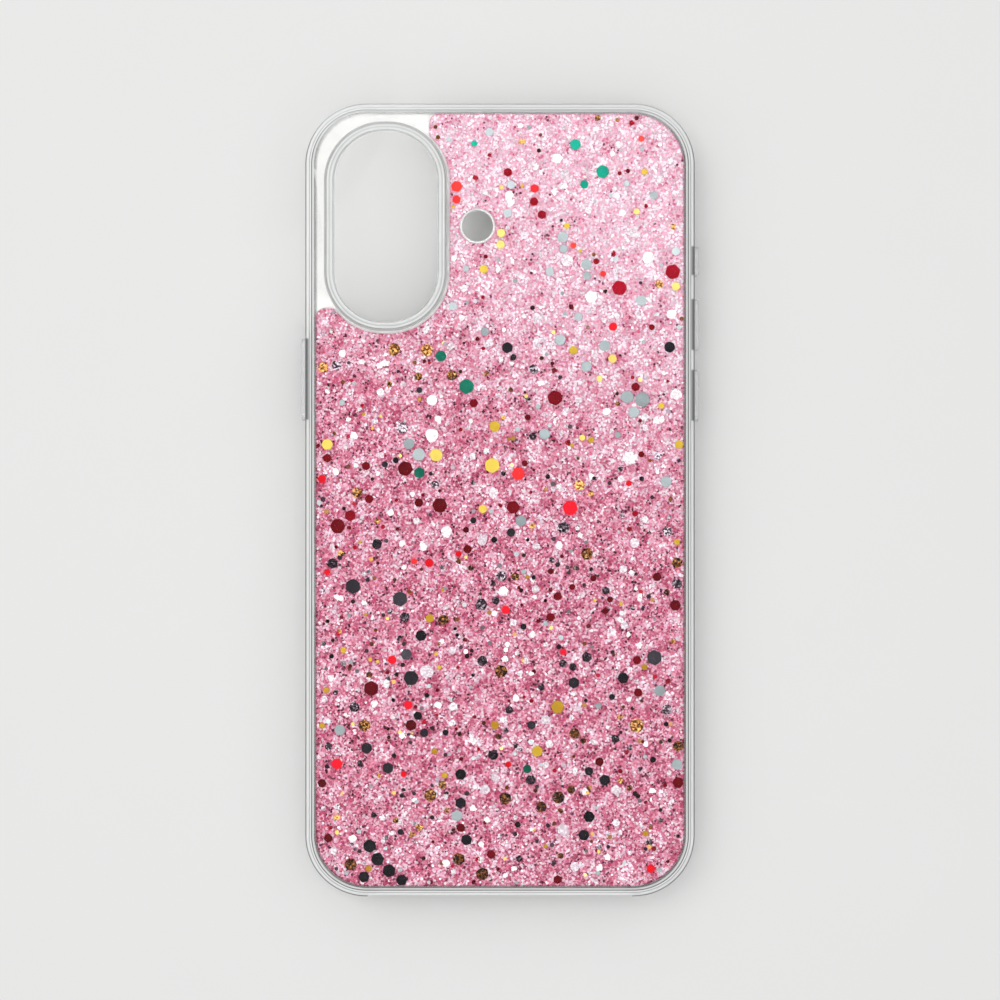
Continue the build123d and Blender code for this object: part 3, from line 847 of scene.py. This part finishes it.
SEQUIN_SIDES = 18
CRUMPLE_SIDES = 12
CRUMPLED = {"bronze": 0.10, "smoke": 0.16, "pearl": 0.20}
FAMILY_SHADES = {
    # colours of the darkest, middle and lightest foils, and how metallic they are; a crumpled
    # family's colours also paint the light and shade of its creases
    "scarlet": ((0.62, 0.003, 0.010), (0.85, 0.010, 0.025), (1.0, 0.10, 0.055), 0.25),
    "ruby": ((0.075, 0.001, 0.003), (0.17, 0.001, 0.006), (0.40, 0.002, 0.018), 0.3),
    "charcoal": ((0.008, 0.007, 0.009), (0.030, 0.026, 0.034), (0.085, 0.078, 0.092), 0.3),
    "silver": ((0.26, 0.30, 0.31), (0.40, 0.46, 0.47), (0.60, 0.67, 0.69), 0.3),
    "gold": ((0.42, 0.22, 0.015), (0.74, 0.52, 0.05), (0.93, 0.82, 0.28), 0.3),
    "bronze": ((0.010, 0.003, 0.002), (0.17, 0.050, 0.008), (0.95, 0.52, 0.16), 0.45),
    "smoke": ((0.003, 0.002, 0.004), (0.050, 0.026, 0.038), (0.72, 0.60, 0.68), 0.45),
    "green": ((0.003, 0.055, 0.035), (0.006, 0.16, 0.10), (0.005, 0.52, 0.36), 0.25),
    "pearl": ((0.52, 0.42, 0.47), (0.76, 0.71, 0.74), (0.95, 0.94, 0.94), 0.2),
}


def sequin_foil(family, crumpled=False):
    """Glossy foil in one family's colours; a crumpled one is broken into light and dark cells of
    painted light and shade.
    """
    name = f"{family}_crumple" if crumpled else f"{family}_gloss"
    if name in bpy.data.materials:
        return bpy.data.materials[name]
    dark, middle, light, metal = FAMILY_SHADES[family]
    stops = [(0.0, dark), (0.5, middle), (1.0, light)]
    if not crumpled:
        return foil(name, stops, metal, (0.16, 0.30), flake_tone, coat=0.4)
    return foil(name, stops, metal, (0.12, 0.35), crease_light_tone, coat=0.2, crease=0.35)


def disc_outline(radius, sides, ragged, rng):
    """Corner distances of a six-sided disc with rounded corners, and their angles.

    A point of a hexagon's side stands at radius times cos 30 over cos of its angle from
    the side's middle; no point goes further out than 0.95 of the radius.
    """
    angle = np.arange(sides) * 2 * math.pi / sides
    from_side = angle % (math.pi / 3) - math.pi / 6
    reach = np.minimum(math.cos(math.pi / 6) / np.cos(from_side), 0.95)
    rough = 1 - ragged * rng.random((len(radius), sides))
    return radius[:, None] * reach * rough, angle


def flat_points(plan, radius, spin, low, high, rng):
    """Discs with a bevelled rim: a foot ring, a shoulder ring and a top ring."""
    bevel = 0.03 * MM
    reach, angle = disc_outline(radius, SEQUIN_SIDES, 0.02, rng)
    turned = angle + spin[:, None]
    rings = []
    for inset, height in ((0, low), (0, high - bevel), (bevel, high)):
        out = reach - inset
        rings.append(np.stack([
            plan[:, :1] + out * np.cos(turned),
            plan[:, 1:] + out * np.sin(turned),
            np.full(out.shape, height),
        ], -1))
    return np.concatenate(rings, axis=1)


def flat_faces():
    """Foot, wall, bevel and top of one flat disc."""
    n = SEQUIN_SIDES
    following = [(i + 1) % n for i in range(n)]
    faces = [list(reversed(range(n))), list(range(2 * n, 3 * n))]
    for low, high in ((0, n), (n, 2 * n)):
        faces += [(low + i, low + j, high + j, high + i) for i, j in enumerate(following)]
    return faces


def crumpled_points(plan, radius, spin, low, rise, ragged, rng):
    """Creased discs: a foot ring, a rim, a middle ring and a middle point, at uneven heights."""
    reach, angle = disc_outline(radius, CRUMPLE_SIDES, ragged, rng)
    turned = angle + spin[:, None]
    foot_height = np.full(reach.shape, low)
    rim_height = low + rise * rng.uniform(0.35, 1, reach.shape)
    inner_reach = reach * 0.52 * rng.uniform(0.75, 1.3, reach.shape)
    inner_height = low + rise * rng.uniform(0.15, 1, reach.shape)
    rings = [
        np.stack([
            plan[:, :1] + out * np.cos(turned), plan[:, 1:] + out * np.sin(turned), height
        ], -1)
        for out, height in (
            (reach, foot_height), (reach, rim_height), (inner_reach, inner_height)
        )
    ]
    top = np.concatenate([plan, low + rise * rng.uniform(0.2, 1, (len(plan), 1))], axis=1)
    return np.concatenate([*rings, top[:, None]], axis=1)


def crumpled_faces():
    """Foot, wall, outer facets and inner facets of one creased disc."""
    n = CRUMPLE_SIDES
    following = [(i + 1) % n for i in range(n)]
    faces = [list(reversed(range(n)))]
    faces += [(i, j, n + j, n + i) for i, j in enumerate(following)]
    for i, j in enumerate(following):
        faces.append((n + i, n + j, 2 * n + j))
        faces.append((n + i, 2 * n + j, 2 * n + i))
        faces.append((2 * n + i, 2 * n + j, 3 * n))
    return faces


def make_sequins(node, seed):
    """A node's sequins made again with rounded corners and a bevel, or with creases."""
    family = node.removesuffix("_sequins")
    plan, radius, spin = sequin_places(node)
    low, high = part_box(node)
    rng = np.random.default_rng(seed)
    half = (sheet_high.y - sheet_low.y) / 2
    # Painted reflection: the sequins' tones rise towards the phone's top.
    tones = np.clip(0.35 + 0.4 * plan[:, 1] / half + rng.normal(0, 0.2, len(plan)), 0, 1)
    if family in CRUMPLED:
        rise = high.z - low.z
        points = crumpled_points(plan, radius, spin, low.z, rise, CRUMPLED[family], rng)
        piece = repeated_mesh(f"{family}_discs", points, crumpled_faces(), tones)
    else:
        points = flat_points(plan, radius, spin, low.z, high.z, rng)
        piece = repeated_mesh(f"{family}_discs", points, flat_faces(), tones)
    piece.data.materials.append(sequin_foil(family, family in CRUMPLED))
    return piece


# ---- stage ----

def make_floor(settings):
    """Flat square under the case, a hair below its lip."""
    half = settings.floor_size / 2
    steps = np.linspace(-half, half, 9)
    x, y = np.meshgrid(steps, steps)
    points = np.column_stack([x.ravel(), y.ravel(), np.full(x.size, cad_low.z - FLOOR_GAP)])
    across = len(steps)
    corner = (np.arange(across - 1)[:, None] * across + np.arange(across - 1)).ravel()
    faces = np.column_stack([corner, corner + 1, corner + across + 1, corner + across])
    mesh = bpy.data.meshes.new("floor")
    mesh.from_pydata(points.tolist(), [], faces.tolist())
    floor = add_object("floor", mesh)
    material, wiring = new_material("pale_board")
    shade = wiring.ramp(wiring.noise(20 * MM, 3.0), [
        (0.0, tuple(0.985 * c for c in settings.floor_colour)),
        (1.0, tuple(settings.floor_colour)),
    ])
    board = wiring.add("ShaderNodeBsdfPrincipled", {"Base Color": shade, "Roughness": 0.75})
    wiring.finish(board.outputs[0])
    mesh.materials.append(material)


def make_lamp(name, place, size, power):
    """Square soft lamp that points at the case."""
    data = bpy.data.lights.new(name, "AREA")
    data.size = size
    data.energy = power
    lamp = add_object(name, data)
    lamp.location = place
    towards = Vector((0, 0, 0)) - lamp.location
    lamp.rotation_euler = towards.to_track_quat("-Z", "Y").to_euler()


def make_sky():
    """Studio surroundings: bright above, dark low down, and pale where the camera sees them."""
    world = bpy.data.worlds.new("studio")
    world.use_nodes = True
    bpy.context.scene.world = world
    wiring = Wiring(world.node_tree)
    place = wiring.add("ShaderNodeTexCoord").outputs["Generated"]
    height = wiring.add("ShaderNodeSeparateXYZ", {"Vector": place}).outputs["Z"]
    dome = wiring.ramp(height, [
        (0.0, (0.13, 0.13, 0.13)), (0.25, (0.30, 0.30, 0.305)),
        (0.55, (0.77, 0.77, 0.78)), (0.965, (0.855, 0.855, 0.855)), (0.985, (0.14, 0.14, 0.14)),
    ])
    path = wiring.add("ShaderNodeLightPath")
    seen = wiring.blended(path.outputs["Is Camera Ray"], dome, (0.80, 0.80, 0.80, 1.0))
    background = wiring.add("ShaderNodeBackground", {"Color": seen})
    wiring.add("ShaderNodeOutputWorld", {"Surface": background.outputs[0]})


def make_camera(settings):
    """Long-lens camera straight above the middle of the case."""
    data = bpy.data.cameras.new("camera")
    data.sensor_width = 36.0
    data.lens = data.sensor_width * settings.camera_height / settings.field
    data.clip_start = 0.01
    data.clip_end = 50.0
    camera = add_object("camera", data)
    camera.location = (0, 0, plate_high.z + settings.camera_height)
    bpy.context.scene.camera = camera


# ---- operators ----

def take_in(pieces):
    """Makes new pieces ride on the case."""
    for piece in pieces:
        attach(piece, BODY)


class CASE_OT_clear_parts(bpy.types.Operator):
    """Gives the frame, plate, ring, sleeve, liner, film, caps and webs their clear finishes"""

    bl_idname = "case.clear_parts"
    bl_label = "Finish Clear Parts"

    def execute(self, context):
        look = context.scene.case_plastic
        soft = (look.soft_tint, look.soft_shade, look.soft_ior, *SOFT_EDGE)
        hard = (look.hard_tint, look.hard_shade, look.hard_ior, *HARD_EDGE)
        # Painted shade: the ring takes its greyed tint.
        ring = (look.ring_shaded_tint, look.soft_shade, look.soft_ior, *SOFT_EDGE)
        # Painted shade: the webs take a dark grey tint.
        dark = (WEB_SHADE_TINT, look.soft_shade, look.soft_ior, *SOFT_EDGE)
        # Painted shade lines for the frame, the plate and the ring.
        rim_shade_lines = outline_shade_lines("bumper_frame", FRAME_CORNER, FRAME_SHADE_LINES, FRAME_LINES_Z)

        def frame_shade_lines(wiring):
            return wiring.multiplied(rim_shade_lines(wiring), window_shade_strips(wiring))

        plate_shade_lines = outline_shade_lines("outer_back_plate", PLATE_CORNER, PLATE_SHADE_LINES, 0.0)
        ring_shade_lines = outline_shade_lines("camera_guard_ring", RING_CORNER, RING_SHADE_LINES, plate_high.z)
        finishes = [
            ("soft_shell", soft, 14 * MM, (0.30, 0.62), frame_shade_lines, ["bumper_frame"]),
            ("hard_plate", hard, 25 * MM, (0.0, 0.0), plate_shade_lines, ["outer_back_plate"]),
            ("liner_plastic", hard, 25 * MM, (0.7, 0.7), None, ["inner_liner_plate"]),
            ("ring_plastic", ring, 12 * MM, (0.3, 0.35), ring_shade_lines, ["camera_guard_ring"]),
            ("sleeve_plastic", soft, 3 * MM, (0.25, 0.25), None, ["flash_sleeve"]),
            ("cap_plastic", soft, 6 * MM, (0.3, 0.3), recess_shade, BUTTON_NODES),
            ("web_plastic", dark, 2 * MM, (0.0, 0.0), None, WEB_NODES),
        ]
        for name, (tint, shade, ior, rim, gloss), wave, haze, lines, nodes in finishes:
            dress(nodes, clear_plastic(
                name, tuple(tint), tuple(shade), ior, rim, gloss, wave, haze, lines
            ))
        dress(["bond_film"], self.film_material())
        return {"FINISHED"}

    def film_material(self):
        """Thin adhesive that light passes straight through, with a faint warm cast."""
        material, wiring = new_material("clear_adhesive")
        shade = wiring.ramp(wiring.noise(4 * MM), [
            (0.0, (0.975, 0.972, 0.965)), (1.0, (0.995, 0.995, 0.99)),
        ])
        film = wiring.add("ShaderNodeBsdfTransparent", {"Color": shade})
        wiring.finish(film.outputs[0])
        return material


class CASE_OT_glitter_bed(bpy.types.Operator):
    """Makes the coloured resin that the flakes lie in"""

    bl_idname = "case.glitter_bed"
    bl_label = "Make Glitter Bed"

    def execute(self, context):
        bed = make_glitter_bed(context.scene.case_glitter)
        take_in([bed])
        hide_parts("glitter_resin_sheet")
        return {"FINISHED"}


class CASE_OT_flakes(bpy.types.Operator):
    """Scatters the fine flakes over the bed"""

    bl_idname = "case.flakes"
    bl_label = "Make Fine Flakes"

    def execute(self, context):
        take_in(make_fine_flakes(context.scene.case_glitter))
        return {"FINISHED"}


class CASE_OT_chips(bpy.types.Operator):
    """Scatters the larger broken foils"""

    bl_idname = "case.chips"
    bl_label = "Make Foil Chips"

    def execute(self, context):
        for piece, family in make_chips(context.scene.case_glitter):
            take_in([piece])
        return {"FINISHED"}


class CASE_OT_sequins(bpy.types.Operator):
    """Makes the sequins again with their real edges, creases and foils"""

    bl_idname = "case.sequins"
    bl_label = "Make Sequins"

    def execute(self, context):
        for order, node in enumerate(SEQUIN_NODES):
            piece = make_sequins(node, context.scene.case_glitter.seed + SEQUIN_SEED + order)
            take_in([piece])
            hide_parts(node)
        return {"FINISHED"}


class CASE_OT_stage(bpy.types.Operator):
    """Makes the floor, the lamps, the surroundings and the camera"""

    bl_idname = "case.stage"
    bl_label = "Make Stage"

    def execute(self, context):
        settings = context.scene.case_stage
        make_floor(settings)
        make_lamp("key_lamp", KEY_PLACE, KEY_SIZE, settings.key_power)
        for turn in range(RING_LAMPS):
            angle = math.radians(RING_START + 360 / RING_LAMPS * turn)
            reach = RING_REACHES[turn % 2]
            place = (reach * math.cos(angle), reach * math.sin(angle), RING_HEIGHT)
            make_lamp(f"ring_lamp_{turn + 1}", place, RING_LAMP_SIZE, settings.spark_power)
        make_sky()
        make_camera(settings)
        context.scene.view_settings.view_transform = "Standard"
        return {"FINISHED"}


OPERATORS = (
    CASE_OT_clear_parts,
    CASE_OT_glitter_bed,
    CASE_OT_flakes,
    CASE_OT_chips,
    CASE_OT_sequins,
    CASE_OT_stage,
)


class CASE_PT_panel(bpy.types.Panel):
    """Lists the steps that make the case's look"""

    bl_idname = "CASE_PT_panel"
    bl_label = "Glitter Phone Case"
    bl_space_type = "VIEW_3D"
    bl_region_type = "UI"
    bl_category = "Case"

    def draw(self, context):
        for operator in OPERATORS:
            self.layout.operator(operator.bl_idname)
        for name in SETTINGS:
            group = getattr(context.scene, name)
            for field in group.__annotations__:
                self.layout.prop(group, field)


def register():
    """Adds the settings, the operators and the panel."""
    for name, group in SETTINGS.items():
        bpy.utils.register_class(group)
        setattr(bpy.types.Scene, name, bpy.props.PointerProperty(type=group))
    for kind in (*OPERATORS, CASE_PT_panel):
        bpy.utils.register_class(kind)


def unregister():
    """Takes them away again."""
    for kind in reversed((*OPERATORS, CASE_PT_panel)):
        bpy.utils.unregister_class(kind)
    for name, group in SETTINGS.items():
        delattr(bpy.types.Scene, name)
        bpy.utils.unregister_class(group)


def main():
    """Makes the whole scene."""
    register()
    for operator in OPERATORS:
        family, step = operator.bl_idname.split(".")
        getattr(getattr(bpy.ops, family), step)()


if __name__ == "__main__":
    main()
